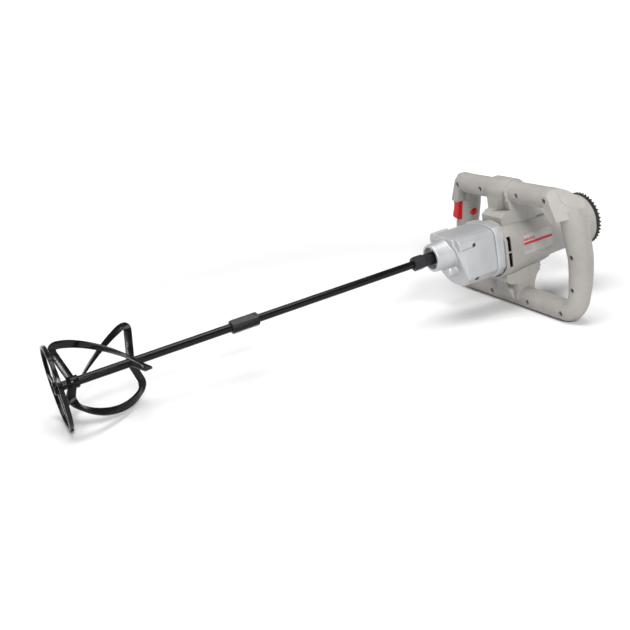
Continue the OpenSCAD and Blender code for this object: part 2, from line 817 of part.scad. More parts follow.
handle_front_shell();
handle_rear_shell();
handle_screws();
cable_gland();
trigger();
lock_button();
switch_body();
motor_housing();
rear_cover();
rear_cover_screws();
rating_label();
stator_core();
stator_coils();
brush_holders();
brushes();
gearbox_housing();
bearing_plate();
gearbox_screws();
nose_seal();
spindle_bearings();
layshaft_bearings();
motor_bearings();
armature_shaft();
armature_core();
commutator();
cooling_fan();
layshaft();
layshaft_wheel();
spindle();
spindle_wheel();
chuck_nut();
upper_shaft();
shaft_coupling();
lower_shaft();
whisk_hub();
whisk_blades();
end_ring();
ring_spokes();
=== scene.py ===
"""Looks of a two-handed paint mixer lying on its handle frame and on the rim of its whisk.

Pieces are modelled in the machine frame, in millimetres: X along the spindle towards the whisk,
Y towards the plain grip, Z from the lower beam to the upper beam, origin on the motor axis in the
plane of the beams. place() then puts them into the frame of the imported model.
"""

import json
import math

import bmesh
import bpy
from mathutils import Matrix, Vector


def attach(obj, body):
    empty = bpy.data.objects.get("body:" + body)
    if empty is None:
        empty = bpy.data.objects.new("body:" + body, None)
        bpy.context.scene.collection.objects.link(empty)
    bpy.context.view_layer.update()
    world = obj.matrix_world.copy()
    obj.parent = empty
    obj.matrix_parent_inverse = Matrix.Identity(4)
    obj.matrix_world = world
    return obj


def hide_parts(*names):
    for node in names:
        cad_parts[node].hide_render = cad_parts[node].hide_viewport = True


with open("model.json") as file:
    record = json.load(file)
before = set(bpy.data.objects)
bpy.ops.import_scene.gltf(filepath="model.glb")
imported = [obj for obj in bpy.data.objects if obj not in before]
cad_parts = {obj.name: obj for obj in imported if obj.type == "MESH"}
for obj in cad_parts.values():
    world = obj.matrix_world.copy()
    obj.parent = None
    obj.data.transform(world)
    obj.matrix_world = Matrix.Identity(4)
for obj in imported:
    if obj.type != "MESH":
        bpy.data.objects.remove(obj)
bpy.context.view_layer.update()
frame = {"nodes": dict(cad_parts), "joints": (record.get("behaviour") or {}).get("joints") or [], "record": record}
cad = frame["nodes"]
joints = {j["name"]: j for j in frame["joints"]}

# ---- machine frame ----

AXIS = Vector(joints["armature_spin"]["axis"]).normalized()
ORIGIN = Vector(joints["armature_spin"]["pos_m"])
SIDE = Vector((0, 1, 0))
MACHINE = Matrix((AXIS, SIDE, AXIS.cross(SIDE))).transposed().to_4x4()
MACHINE.translation = ORIGIN
MACHINE = MACHINE @ Matrix.Scale(0.001, 4)

# ---- sizes, in millimetres ----

# handle frame; GRIP_RADII holds (height, radius) pairs, GRIP_SCREWS (height, skin radius) pairs
BEAM_H = 89.6
BEAM_R = 16.9
UPPER_BEAM_END = 114
GRIP_Y = 145
GRIP_SWEEP = 16
GRIP_BASE = Vector((-16, 145, 0))
GRIP_TOP = Vector((-20, 131, 64))
GRIP_RADII = [(-64, 16.5), (-42, 18.1), (-22, 18.6), (-3, 19.1), (17, 19.9), (40, 20.6), (80, 20.8)]
CORNER_R = 24
NECK_Y = 25
NECK_BULGE = 4.2
CABLE_R = 7.05
SCREW_R = 4.2
SCREW_DEPTH = 7.1
NECK_SCREW_Y = 46.4
UPPER_SCREW_Y = 110.7
LOWER_SCREW_Y = 125.8
GRIP_SCREWS = [(2, 20.2), (-50, 17.3)]
SEAM_SLACK = 0.3
HOUSING_FIT = 0.3

# switch
TRIGGER_HALF = 7
TRIGGER_FIT = 0.4
TRIGGER_SLOT_Z = (20.6, 56.4)
BUTTON_X = 3
BUTTON_Z = 37
BUTTON_HOLE_R = 6.5

# motor
MOTOR_FRONT = 44
MOTOR_REAR = -143
MOTOR_WALL = 3
FLARE_R = 43.5
FLAT_Y = 43
MOTOR_PROFILE = [(MOTOR_FRONT, 48), (24, 48.6), (6, 47), (-9, 45.6), (-38, 45), (-51, 43.4),
    (-57, 40), (-75, 39.2), (-95, 39), (-112, 39.5), (-128, 41), (MOTOR_REAR, FLARE_R)]
VENT_H = 24.5
COVER_LEN = 9
RIBS = 40
FILM_T = 0.06
LABEL_LIFT = 0.35
INK_LIFT = 0.42

# gearbox
PLATE_FRONT = 60
GEAR_FRONT = 131
NOSE_END = 157
NOSE_R = 22
NOSE_BORE_R = 11
SPINDLE_Z = 19.9

# shafts
UPPER_R = 6
LOWER_R = 6.3
SHAFT_FIT = 0.05
COUPLING_X = 480
COUPLING_LEN = 43
COUPLING_AF = 19
NUT_AF = 21
HEX_END = 0.94

# whisk
BLADES = 3
RING_X = 755
RING_R = 60
RING_W = 6
RING_T = 4
STRIP_W = 11
STRIP_T = 3.5
STRIP_EDGE = 0.9
BLADE_TURN = 116
HUB_REAR_X = 652
HUB_FRONT_X = 733
ARM_LEAN = 14.5
BEND_STEPS = 12
BEND_REACH = 0.55

SWEEP_LEAN = 2 * math.atan(GRIP_SWEEP / (BEAM_H + CORNER_R))
SWEEP_R = (BEAM_H - CORNER_R * math.cos(SWEEP_LEAN)) / math.sin(SWEEP_LEAN)
GRIP_LINE = GRIP_TOP - GRIP_BASE
GRIP_FRAME = (Matrix.Translation(GRIP_BASE)
    @ Matrix.Rotation(math.atan2(GRIP_LINE.x, GRIP_LINE.z), 4, "Y")
    @ Matrix.Rotation(math.asin(-GRIP_LINE.y / GRIP_LINE.length), 4, "X"))
TRIGGER_FRAME = Matrix.Scale(-1, 4, (0, 1, 0)) @ GRIP_FRAME
BLADE_R = RING_R - STRIP_W / 2
BLADE_MID = (HUB_REAR_X + HUB_FRONT_X) / 2
BLADE_HALF = (HUB_FRONT_X - HUB_REAR_X) / 2 + ARM_LEAN
SMOOTH_ANGLE = 38
GREY = (0.30, 0.287, 0.268)


# ---- mesh helpers ----


def add(name, data):
    """A new object of the scene."""
    obj = bpy.data.objects.new(name, data)
    bpy.context.scene.collection.objects.link(obj)
    return obj


def make(name, verts, faces):
    mesh = bpy.data.meshes.new(name)
    mesh.from_pydata([tuple(v) for v in verts], [], faces)
    mesh.validate()
    bm = bmesh.new()
    bm.from_mesh(mesh)
    bmesh.ops.recalc_face_normals(bm, faces=bm.faces)
    bm.to_mesh(mesh)
    bm.free()
    return add(name, mesh)


def drop(*objs):
    for obj in objs:
        bpy.data.objects.remove(obj)


def bake(obj):
    """Applies the modifiers of obj to its mesh."""
    bpy.context.view_layer.update()
    graph = bpy.context.evaluated_depsgraph_get()
    obj.data = bpy.data.meshes.new_from_object(obj.evaluated_get(graph))
    obj.modifiers.clear()
    return obj


def boolean(obj, other, operation):
    """Combines obj with other, which is used up."""
    mod = obj.modifiers.new("cut", "BOOLEAN")
    mod.operation = operation
    mod.solver = "EXACT"
    mod.object = other
    bake(obj)
    drop(other)
    return obj


def join(name, *objs):
    """One object that holds the meshes of objs, which are used up."""
    bm = bmesh.new()
    for obj in objs:
        part = obj.data.copy()
        part.transform(obj.matrix_world)
        bm.from_mesh(part)
        bpy.data.meshes.remove(part)
    drop(*objs)
    mesh = bpy.data.meshes.new(name)
    bm.to_mesh(mesh)
    bm.free()
    return add(name, mesh)


def mold(obj, voxel, smooth):
    """Fuses the overlapping closed parts of obj into one skin with soft fillets."""
    mod = obj.modifiers.new("fuse", "REMESH")
    mod.mode = "VOXEL"
    mod.voxel_size = voxel * 1
    mod.use_smooth_shade = True
    soft = obj.modifiers.new("soften", "SMOOTH")
    soft.factor = 0.5
    soft.iterations = smooth
    return bake(obj)


def rounded(obj, width, segments=3, angle=35):
    """Bevels the edges of obj that are sharper than angle."""
    mod = obj.modifiers.new("edge", "BEVEL")
    mod.width = width
    mod.segments = segments
    mod.limit_method = "ANGLE"
    mod.angle_limit = math.radians(angle)
    mod.harden_normals = False
    return bake(obj)


def sweep(name, rings, closed=False):
    """Skins a list of rings, each a list of points; the first and last are capped unless closed."""
    n = len(rings[0])
    verts = [p for ring in rings for p in ring]
    faces = []
    for k in range(len(rings) if closed else len(rings) - 1):
        a, b = k * n, (k + 1) % len(rings) * n
        faces += [(a + i, a + (i + 1) % n, b + (i + 1) % n, b + i) for i in range(n)]
    if not closed:
        faces += [tuple(range(n)), tuple(range(len(verts) - n, len(verts)))]
    return make(name, verts, faces)


def full_turn(segments):
    """Angles of evenly spaced points round a circle."""
    return [2 * math.pi * k / segments for k in range(segments)]


def lathe(name, profile, y=0, z=0, segments=96):
    """Turns a profile of (x, radius) pairs about a line along X; the first and last close the ends."""
    turns = full_turn(segments)
    rings = [[(x, y + r * math.cos(t), z + r * math.sin(t)) for t in turns] for x, r in profile]
    return sweep(name, rings)


def lathe_y(name, profile, x, z, segments=64):
    """Turns a profile of (y, radius) pairs about a line along Y."""
    turns = full_turn(segments)
    rings = [[(x + r * math.cos(t), y, z + r * math.sin(t)) for t in turns] for y, r in profile]
    return sweep(name, rings)


def rod(x0, x1, r, y=0, z=0, segments=48):
    return lathe("rod", [(x0, r), (x1, r)], y, z, segments)


def bar_y(y0, y1, r, x, z):
    return lathe_y("bar", [(y0, r), (y1, r)], x, z)


def prism_y(outline, y0, y1):
    return sweep("prism", [[(x, y, z) for x, z in outline] for y in (y0, y1)])


def prism_x(outline, x0, x1):
    return sweep("prism", [[(x, y, z) for y, z in outline] for x in (x0, x1)])


def prism_z(outline, z0, z1):
    return sweep("prism", [[(x, y, z) for x, y in outline] for z in (z0, z1)])


def block(x0, x1, y0, y1, z0, z1):
    return prism_x([(y0, z0), (y1, z0), (y1, z1), (y0, z1)], x0, x1)


def place(obj, name, nodes, material, body="machine"):
    """Gives a piece its name, material and body, in place of the CAD nodes it stands for."""
    obj.name = name
    obj.data.name = name
    obj.data.transform(MACHINE)
    obj.data.materials.clear()
    obj.data.materials.append(material)
    for face in obj.data.polygons:
        face.use_smooth = True
    mod = obj.modifiers.new("shade", "EDGE_SPLIT")
    mod.split_angle = math.radians(SMOOTH_ANGLE)
    bake(obj)
    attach(obj, body)
    if nodes:
        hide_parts(*nodes)
    return obj


def moved(obj, matrix):
    """Moves the mesh of obj, turned right side out again after a mirror image."""
    obj.data.transform(matrix)
    if matrix.determinant() < 0:
        obj.data.flip_normals()
    return obj


def softened(line, rounds=2):
    """Rounds off the inner corners of an open outline."""
    for _ in range(rounds):
        cut = [line[0]]
        for (ax, az), (bx, bz) in zip(line, line[1:]):
            cut.append((ax * 0.75 + bx * 0.25, az * 0.75 + bz * 0.25))
            cut.append((ax * 0.25 + bx * 0.75, az * 0.25 + bz * 0.75))
        line = cut + [line[-1]]
    return line


def hexagon(x0, x1, af, chamfer, hole=0.0):
    """Hexagonal bar along the spindle with turned ends and an optional bore."""
    corner = af / math.sqrt(3)
    angles = [math.radians(60 * k + 30) for k in range(6)]
    bar = prism_x([(corner * math.cos(a), SPINDLE_Z + corner * math.sin(a)) for a in angles], x0, x1)
    low, high = af / 2 * HEX_END, corner + 0.3
    ends = [(x0, low), (x0 + chamfer, high), (x1 - chamfer, high), (x1, low)]
    boolean(bar, lathe("turned", ends, 0, SPINDLE_Z), "INTERSECT")
    if hole:
        boolean(bar, rod(x0 - 1, x1 + 1, hole, 0, SPINDLE_Z), "DIFFERENCE")
    return rounded(bar, 0.4, 2)


# ---- materials ----


class Nodes:
    """A material's node tree with short calls for the nodes used here."""

    def __init__(self, name):
        self.material = bpy.data.materials.new(name)
        self.material.use_nodes = True
        self.tree = self.material.node_tree
        self.shader = self.tree.nodes["Principled BSDF"]
        coords = self.tree.nodes.new("ShaderNodeTexCoord")
        self.place = coords.outputs["Object"]

    def link(self, a, b):
        self.tree.links.new(a, b)

    def noise(self, scale, detail=4, rough=0.6, stretch=None):
        node = self.tree.nodes.new("ShaderNodeTexNoise")
        node.inputs["Scale"].default_value = scale
        node.inputs["Detail"].default_value = detail
        node.inputs["Roughness"].default_value = rough
        self.link(self.stretched(stretch) if stretch else self.place, node.inputs["Vector"])
        return node.outputs["Fac"]

    def stretched(self, factors):
        node = self.tree.nodes.new("ShaderNodeMapping")
        node.inputs["Scale"].default_value = factors
        self.link(self.place, node.inputs["Vector"])
        return node.outputs["Vector"]

    def ramp(self, value, low, high, dark, light):
        """Maps value from low..high to the range dark..light."""
        node = self.tree.nodes.new("ShaderNodeMapRange")
        for key, number in zip(("From Min", "From Max", "To Min", "To Max"), (low, high, dark, light)):
            node.inputs[key].default_value = number
        self.link(value, node.inputs["Value"])
        return node.outputs["Result"]

    def mix(self, value, a, b):
        node = self.tree.nodes.new("ShaderNodeMix")
        node.data_type = "RGBA"
        for key, colour in ((6, a), (7, b)):
            if isinstance(colour, tuple):
                node.inputs[key].default_value = (*colour, 1)
            else:
                self.link(colour, node.inputs[key])
        self.link(value, node.inputs[0])
        return node.outputs[2]

    def edges(self, low, high):
        """1 on convex edges, 0 elsewhere."""
        node = self.tree.nodes.new("ShaderNodeNewGeometry")
        return self.ramp(node.outputs["Pointiness"], low, high, 0, 1)

    def bump(self, height, distance, strength=1.0, under=None):
        node = self.tree.nodes.new("ShaderNodeBump")
        node.inputs["Distance"].default_value = distance
        node.inputs["Strength"].default_value = strength
        self.link(height, node.inputs["Height"])
        if under:
            self.link(under, node.inputs["Normal"])
        return node.outputs["Normal"]

    def finish(self, colour, rough, normal=None, metal=0.0, **constants):
        self.link(colour, self.shader.inputs["Base Color"])
        self.link(rough, self.shader.inputs["Roughness"])
        if normal:
            self.link(normal, self.shader.inputs["Normal"])
        self.shader.inputs["Metallic"].default_value = metal
        for key, value in constants.items():
            self.shader.inputs[key.replace("_", " ")].default_value = value
        return self.material


def shade(colour, factor):
    return tuple(min(1, c * factor) for c in colour)


def plastic(name, colour, rough=0.5, grain=900, depth=0.00006, spread=0.12, worn=0.10):
    """Moulded plastic: slow colour drift, spark-eroded grain, paler rubbed edges."""
    n = Nodes(name)
    drift = n.ramp(n.noise(14, 5), 0.35, 0.65, 0, 1)
    base = n.mix(drift, shade(colour, 1 - spread), shade(colour, 1 + spread / 2))
    rubbed = n.mix(n.edges(0.53, 0.62), base, shade(colour, 1 + worn))
    fine = n.noise(grain, 3, 0.7)
    gloss = n.ramp(n.noise(45, 4), 0.3, 0.7, rough - 0.06, rough + 0.06)
    normal = n.bump(fine, depth, 0.7)
    return n.finish(rubbed, gloss, normal, IOR=1.38)


def paint(name, colour, rough=0.2, worn=(0.02, 0.02, 0.022)):
    """Gloss enamel on steel with a faint orange peel and thin spots on the edges."""
    n = Nodes(name)
    drift = n.ramp(n.noise(30, 5), 0.35, 0.65, 0, 1)
    base = n.mix(drift, colour, shade(colour, 1.8))
    thin = n.mix(n.edges(0.56, 0.66), base, worn)
    gloss = n.ramp(n.noise(90, 4), 0.3, 0.7, rough - 0.05, rough + 0.10)
    peel = n.bump(n.noise(420, 2), 0.00012, 0.5)
    return n.finish(thin, gloss, peel, IOR=1.27)


def cast(name, colour, rough=0.42):
    """Die-cast alloy: blasted grain, flow marks and brighter edges."""
    n = Nodes(name)
    flow = n.ramp(n.noise(22, 6, 0.65), 0.3, 0.7, 0, 1)
    base = n.mix(flow, shade(colour, 0.88), shade(colour, 1.06))
    bright = n.mix(n.edges(0.52, 0.60), base, shade(colour, 1.18))
    gloss = n.ramp(n.noise(60, 5), 0.3, 0.7, rough - 0.07, rough + 0.10)
    grain = n.bump(n.noise(1100, 3, 0.7), 0.00008, 0.8)
    pores = n.bump(n.noise(160, 4), 0.00015, 0.35, grain)
    return n.finish(bright, gloss, pores, 0.55, IOR=1.6)


def steel(name, colour, rough=0.3, along=(1, 1, 1), scale=260):
    """Machined steel with fine marks that run along one direction."""
    n = Nodes(name)
    marks = n.noise(scale, 5, 0.6, along)
    stain = n.ramp(n.noise(25, 5), 0.35, 0.7, 0, 1)
    base = n.mix(stain, shade(colour, 0.85), shade(colour, 1.1))
    gloss = n.ramp(marks, 0.3, 0.7, rough - 0.08, rough + 0.12)
    return n.finish(base, gloss, n.bump(marks, 0.00006, 0.5), 1.0)


def rubber(name, colour):
    n = Nodes(name)
    base = n.mix(n.noise(60, 4), shade(colour, 0.7), shade(colour, 1.5))
    gloss = n.ramp(n.noise(120, 3), 0.3, 0.7, 0.6, 0.8)
    return n.finish(base, gloss, n.bump(n.noise(700, 3), 0.0001, 0.6))


MATERIALS = {
    "grey_plastic": plastic("grey_plastic", GREY),
    "black_plastic": plastic("black_plastic", (0.016, 0.016, 0.017), 0.45, 700, 0.00008, 0.2, 0.8),
    "red_plastic": plastic("red_plastic", (0.50, 0.0015, 0.002), 0.45, 600, 0.00004, 0.15, 0.12),
    "switch_plastic": plastic("switch_plastic", (0.03, 0.03, 0.03), 0.6, 800),
    "label_red": plastic("label_red", (0.40, 0.008, 0.008), 0.3, 300, 0.00001, 0.05, 0.02),
    "label_grey": plastic("label_grey", (0.16, 0.16, 0.16), 0.35, 300, 0.00001, 0.05, 0.02),
    "label_film": plastic("label_film", (0.36, 0.355, 0.345), 0.3, 300, 0.00001, 0.05, 0.02),
    "cast_alloy": cast("cast_alloy", (0.45, 0.455, 0.465)),
    "black_steel": paint("black_steel", (0.003, 0.003, 0.0035), 0.13),
    "dark_steel": paint("dark_steel", (0.004, 0.004, 0.0045), 0.3),
    "plated_steel": steel("plated_steel", (0.10, 0.10, 0.105), 0.35),
    "gear_steel": steel("gear_steel", (0.42, 0.42, 0.43), 0.25),
    "lamination_steel": steel("lamination_steel", (0.25, 0.25, 0.27), 0.4, (8, 0.3, 0.3)),
    "copper": steel("copper", (0.80, 0.40, 0.22), 0.3, (0.3, 2, 2)),
    "coil_copper": steel("coil_copper", (0.48, 0.17, 0.07), 0.35, (0.4, 4, 4), 500),
    "brass": steel("brass", (0.75, 0.58, 0.26), 0.35),
    "carbon": rubber("carbon", (0.03, 0.03, 0.03)),
    "seal_rubber": rubber("seal_rubber", (0.018, 0.018, 0.018)),
}
SLOT_OF = {s["node"]: s["material_slot"] for s in frame["record"]["subparts"]}
for node, obj in cad.items():
    obj.data.materials.clear()
    obj.data.materials.append(MATERIALS[SLOT_OF[node]])


def dress(obj, name, node, body="machine"):
    """Places a piece that stands for one CAD node, in that node's material and slot."""
    slot = SLOT_OF[node]
    place(obj, name, [node], MATERIALS[slot], body)


# ---- handle ----


def sweep_at(z):
    """How far behind the beams the centre line of a grip is at height z of its lower half."""
    return SWEEP_R - GRIP_SWEEP - math.sqrt(SWEEP_R**2 - z * z)


def grip_radius(z):
    """Radius of a grip at height z, in straight steps between GRIP_RADII."""
    for (z0, r0), (z1, r1) in zip(GRIP_RADII, GRIP_RADII[1:]):
        if z <= z1:
            return r0 + (r1 - r0) * max(0, (z - z0) / (z1 - z0))
    return GRIP_RADII[-1][1]


def grip_points():
    """Centre points and radii from the lower beam round the corner and up into the hand stop."""
    low = SWEEP_R * math.sin(SWEEP_LEAN)
    points = []
    for k in range(13):
        a = math.pi / 2 * k / 12
        rise = CORNER_R * (1 - math.cos(a))
        centre = (-rise * math.sin(SWEEP_LEAN), GRIP_Y - CORNER_R + CORNER_R * math.sin(a),
            rise * math.cos(SWEEP_LEAN) - BEAM_H)
        points.append((centre, BEAM_R + (grip_radius(-low) - BEAM_R) * k / 12))
    for k in range(1, 16):
        z = low * (k / 16 - 1)
        points.append(((sweep_at(z), GRIP_Y, z), grip_radius(z)))
    for k in range(18):
        z = 4 * k + 2
        points.append((tuple(GRIP_BASE + GRIP_LINE * (z / GRIP_LINE.z)), grip_radius(z)))
    return points


def tube(line, segments=64):
    """Skins circles along a line of (point, radius)."""
    rings = []
    turns = full_turn(segments)
    for k, (p, r) in enumerate(line):
        ahead = Vector(line[min(k + 1, len(line) - 1)][0]) - Vector(line[max(k - 1, 0)][0])
        d = ahead.normalized()
        u = d.cross(Vector((1, 0, 0))).normalized()
        v = d.cross(u)
        rings.append([Vector(p) + r * (u * math.cos(t) + v * math.sin(t)) for t in turns])
    return sweep("tube", rings)


def flipped(obj):
    """A copy of obj mirrored to the trigger side."""
    return moved(add(obj.name, obj.data.copy()), Matrix.Scale(-1, 4, (0, 1, 0)))


def hand_stop():
    """Bevelled block that joins a grip to the upper beam."""
    outer = softened([(153, 62), (150, 75), (145, 86), (137, 96), (127, 103), (117, 106.5), (104, 106.5)])
    side = [(-40, 54), (16, 54), (16, 97)] + softened([(8, 106.5), (-9, 106.5), (-36, 80)], 1)
    rear = prism_x([(103, 88), (109, 59), (134, 57)] + outer, -45, -3)
    front = prism_x([(106, 85), (120.5, 55.6), (136, 59.3)] + outer, -4, 20)
    lean = Matrix.Rotation(math.radians(64.5), 4, "Z") @ Matrix.Rotation(math.radians(-23.4), 4, "Y")
    bevel_at, half = 142.5, 150
    for part in (rear, front):
        boolean(part, prism_y(side, 90, 160), "INTERSECT")
        keep = block(bevel_at - 2 * half, bevel_at, -half, half, -half, half)
        boolean(part, moved(keep, lean), "INTERSECT")
    return join("stop", rear, front)


def neck(side, bulge):
    """Column from a beam to the motor housing; side is 1 for the upper one."""
    upper_flare = [(-56, 40), (-42, 53), (-31, 64), (-25, 82)]
    lower_flare = [(-36, 44), (-27, 56), (-21, 68), (-19, 80)]
    rear = softened(upper_flare if side > 0 else lower_flare)
    stem = [(20, BEAM_H), (20, 40)] + rear + [(-17, BEAM_H)]
    foot = [(34, 34), (34, 55), (26, 61), (-22, 61), (-33, 52), (-36, 34)]
    return join("neck",
        bar_y(-24, 24, BEAM_R + bulge, 0, side * BEAM_H),
        prism_y([(x, side * z) for x, z in stem], -NECK_Y, NECK_Y),
        prism_y([(x, side * z) for x, z in foot], -NECK_Y, NECK_Y))


def neck_notch(side):
    """Three-cornered notch in the front of a neck that runs out towards the beam."""
    base = [(26, -7, 60), (20, -3, 60), (10, 3, 59), (15, 27, 63), (26, 27, 63)]
    verts = [(x, y, side * z) for x, y, z in base + [(21, 22, 100)]]
    return make("notch", verts, [(0, 1, 2, 3, 4)] + [(i, (i + 1) % 5, 5) for i in range(5)])


def motor_profile(t=0.0):
    """Outline of the motor housing, grown by t."""
    return [(x, r + t) for x, r in MOTOR_PROFILE]


def screw_places():
    """Axis points of the handle screws on the skin of the frame: (x, y, z)."""
    sides = (-1, 1)
    spots = [(BEAM_R, s * y, BEAM_H) for s in sides for y in (NECK_SCREW_Y, UPPER_SCREW_Y)]
    spots += [(BEAM_R, s * y, -BEAM_H) for s in sides for y in (NECK_SCREW_Y, LOWER_SCREW_Y)]
    spots += [(sweep_at(z) + r, s * GRIP_Y, z) for s in sides for z, r in GRIP_SCREWS]
    return spots


def handle():
    """The whole frame in one piece, with its holes and with room for the motor housing."""
    side = join("side", tube(grip_points()), hand_stop())
    other = flipped(side)
    low_end = GRIP_Y - CORNER_R
    upper = bar_y(-UPPER_BEAM_END, UPPER_BEAM_END, BEAM_R, 0, BEAM_H)
    lower = bar_y(-low_end, low_end, BEAM_R, 0, -BEAM_H)
    body = join("handle", side, other, upper, lower, neck(1, NECK_BULGE), neck(-1, 0))
    mold(body, 1.0, 4)
    cutters = [rod(x - SCREW_DEPTH, x + 8, SCREW_R, y, z) for x, y, z in screw_places()]
    cutters.append(bar_y(-GRIP_Y - 30, -GRIP_Y + 8, CABLE_R, 0, -BEAM_H))
    cutters += [neck_notch(1), neck_notch(-1), lathe("motor", motor_profile(HOUSING_FIT))]
    boolean(body, join("cutters", *cutters), "DIFFERENCE")
    half = TRIGGER_HALF + TRIGGER_FIT
    slot = moved(block(2, 40, -half, half, *TRIGGER_SLOT_Z), TRIGGER_FRAME)
    button = moved(bar_y(-30, -7, BUTTON_HOLE_R, BUTTON_X, BUTTON_Z), TRIGGER_FRAME)
    boolean(body, join("cutters", slot, button), "DIFFERENCE")
    return body


def parting(slack):
    """Solid in front of the parting surface of the two handle shells."""
    bottom, top, front = -112, 120, 90
    seam = [(sweep_at(z), z) for z in range(bottom, 1, 8)]
    seam += [(GRIP_TOP.x, GRIP_TOP.z), (0, BEAM_H - 4), (0, top)]
    outline = [(x + slack, z) for x, z in seam] + [(front, top), (front, bottom)]
    return prism_y(outline, -GRIP_Y - 40, GRIP_Y + 40)


def handle_shells():
    front = handle()
    rear = add("rear", front.data.copy())
    boolean(front, parting(SEAM_SLACK / 2), "INTERSECT")
    boolean(rear, parting(-SEAM_SLACK / 2), "DIFFERENCE")
    for obj, node in ((front, "handle_front_shell"), (rear, "handle_rear_shell")):
        dress(obj, "skin_" + node, node)


def trigger():
    pull = softened([(25.6, 21.6), (27.9, 24.5), (27.6, 31), (26.2, 40), (26.8, 48), (27.9, 52),
        (26.6, 54.8)])
    lever = prism_y([(9, 22)] + pull + [(9, 54.8)], -TRIGGER_HALF, TRIGGER_HALF)
    dress(rounded(moved(lever, TRIGGER_FRAME), 1.1, 4), "trigger_lever", "trigger", "trigger")


def lock_button():
    profile = [(-11, 3), (-14, 3), (-14, 5.8), (-20.6, 5.9), (-21.8, 5.3), (-22.6, 3.4), (-22.9, 1)]
    button = lathe_y("button", profile, BUTTON_X, BUTTON_Z)
    dress(moved(button, TRIGGER_FRAME), "lock_button_cap", "lock_button", "lock_button")


handle_shells()
trigger()
lock_button()

# ---- motor ----


def motor_housing():
    """Turned housing with two flats, hollow, with two cooling slots on each side."""
    shell = lathe("housing", motor_profile(), segments=160)
    x0, x1 = MOTOR_REAR - 5, MOTOR_FRONT + 5
    boolean(shell, block(x0, x1, -FLAT_Y, FLAT_Y, -60, 60), "INTERSECT")
    past_end = {MOTOR_FRONT: 1, MOTOR_REAR: -1}
    hollow = [(x + past_end.get(x, 0), r - MOTOR_WALL) for x, r in motor_profile()]
    inner = lathe("inner", hollow)
    boolean(inner, block(x0, x1, MOTOR_WALL - FLAT_Y, FLAT_Y - MOTOR_WALL, -60, 60), "INTERSECT")
    boolean(shell, inner, "DIFFERENCE")
    slots = [block(32, 39, s * 42 - 8, s * 42 + 8, z, z + VENT_H) for s in (-1, 1) for z in (-24, 2.5)]
    boolean(shell, join("slots", *slots), "DIFFERENCE")
    dress(rounded(shell, 0.7, 3, 30), "motor_case", "motor_housing")


def rear_cover():
    """Cap with grip ribs round its edge and a slotted face."""
    x0 = MOTOR_REAR - COVER_LEN
    edge_r, hollow_r = FLARE_R - 0.2, FLARE_R - 5
    disc = lathe("cover", [(MOTOR_REAR, edge_r), (x0 + 2, edge_r), (x0, FLARE_R - 2)])
    ribs = []
    for k in range(RIBS):
        rib = block(x0, MOTOR_REAR - 1.4, -1.2, 1.2, FLARE_R - 3, FLARE_R + 1.3)
        ribs.append(moved(rib, Matrix.Rotation(2 * math.pi * k / RIBS, 4, "X")))
    boolean(disc, lathe("hollow", [(x0 + 3, hollow_r), (MOTOR_REAR + 1, hollow_r)]), "DIFFERENCE")
    grille = [block(x0 - 1, x0 + 4, -27, 27, 8 * k - 1.7, 8 * k + 1.7) for k in range(-3, 4)]
    boolean(disc, join("grille", *grille), "DIFFERENCE")
    body = join("cover", rounded(disc, 0.5, 2), *[rounded(rib, 0.6, 2) for rib in ribs])
    dress(body, "vent_cover", "rear_cover")


def skin_y(x, z, lift):
    """Distance of the side of the motor housing from its middle plane."""
    r = motor_radius(x) + lift
    return min(FLAT_Y + lift, math.sqrt(r * r - z * z))


def motor_radius(x):
    """Radius of the motor housing at x."""
    line = motor_profile()
    for (x0, r0), (x1, r1) in zip(line, line[1:]):
        if x >= x1:
            return r0 + (r1 - r0) * (x0 - x) / (x0 - x1)
    return line[-1][1]


def film(name, x0, x1, z0, z1, lift, shear=0.0):
    """Thin sheet on the side of the motor housing; shear slants its ends."""
    nx, nz = max(2, int((x1 - x0) / 2)), max(2, int((z1 - z0) / 1.5))
    verts = []
    for layer in (lift - FILM_T, lift):
        for i in range(nx + 1):
            for j in range(nz + 1):
                z = z0 + (z1 - z0) * j / nz
                x = x0 + (x1 - x0) * i / nx + shear * (z - z0)
                verts.append((x, skin_y(x, z, layer), z))
    step, top = nz + 1, (nx + 1) * (nz + 1)
    faces = []
    for i in range(nx):
        for j in range(nz):
            a = i * step + j
            faces.append((a, a + step, a + step + 1, a + 1))
            faces.append((top + a, top + a + 1, top + a + step + 1, top + a + step))
    edge = [i * step for i in range(nx + 1)] + [nx * step + j for j in range(1, nz + 1)]
    edge += [i * step + nz for i in range(nx - 1, -1, -1)] + [j for j in range(nz - 1, 0, -1)]
    faces += [(a, b, top + b, top + a) for a, b in zip(edge, edge[1:] + edge[:1])]
    return make(name, verts, faces)


def label():
    """Rating label: a pale film with a red stripe, a row of red marks and a block of grey lines."""
    dress(film("label", -50, 8, -10, 21, LABEL_LIFT), "label_base", "rating_label")
    red = [film("stripe", -49, 7.6, 4.9, 9.2, INK_LIFT)]
    for k in range(7):
        x, height = 3.2 * k, (4.6, 3.8)[k % 2]
        red.append(film("mark", -14.5 + x, -12.3 + x, 11.4, 11.4 + height, INK_LIFT, 0.15))
    place(join("marks", *red), "label_red", [], MATERIALS["label_red"])
    lines = [film("line", 7 - length, 7, 3.0 - 1.7 * k, 3.6 - 1.7 * k, INK_LIFT)
        for k, length in enumerate((15, 13, 15, 11, 14, 12))]
    place(join("lines", *lines), "label_lines", [], MATERIALS["label_grey"])


motor_housing()
rear_cover()
label()

# ---- gearbox ----


def gear_outline(t):
    """Closed (y, z) outline of the gearbox flange, grown by t."""
    half = [(0, 48 + t), (20, 47.6 + t), (33 + t, 45 + t), (39.5 + t, 37 + t), (40 + t, 0),
        (39 + t, -20), (27 + t, -33 - t), (12, -38 - t), (0, -39 - t)]
    return half + [(-y, z) for y, z in half[-2:0:-1]]


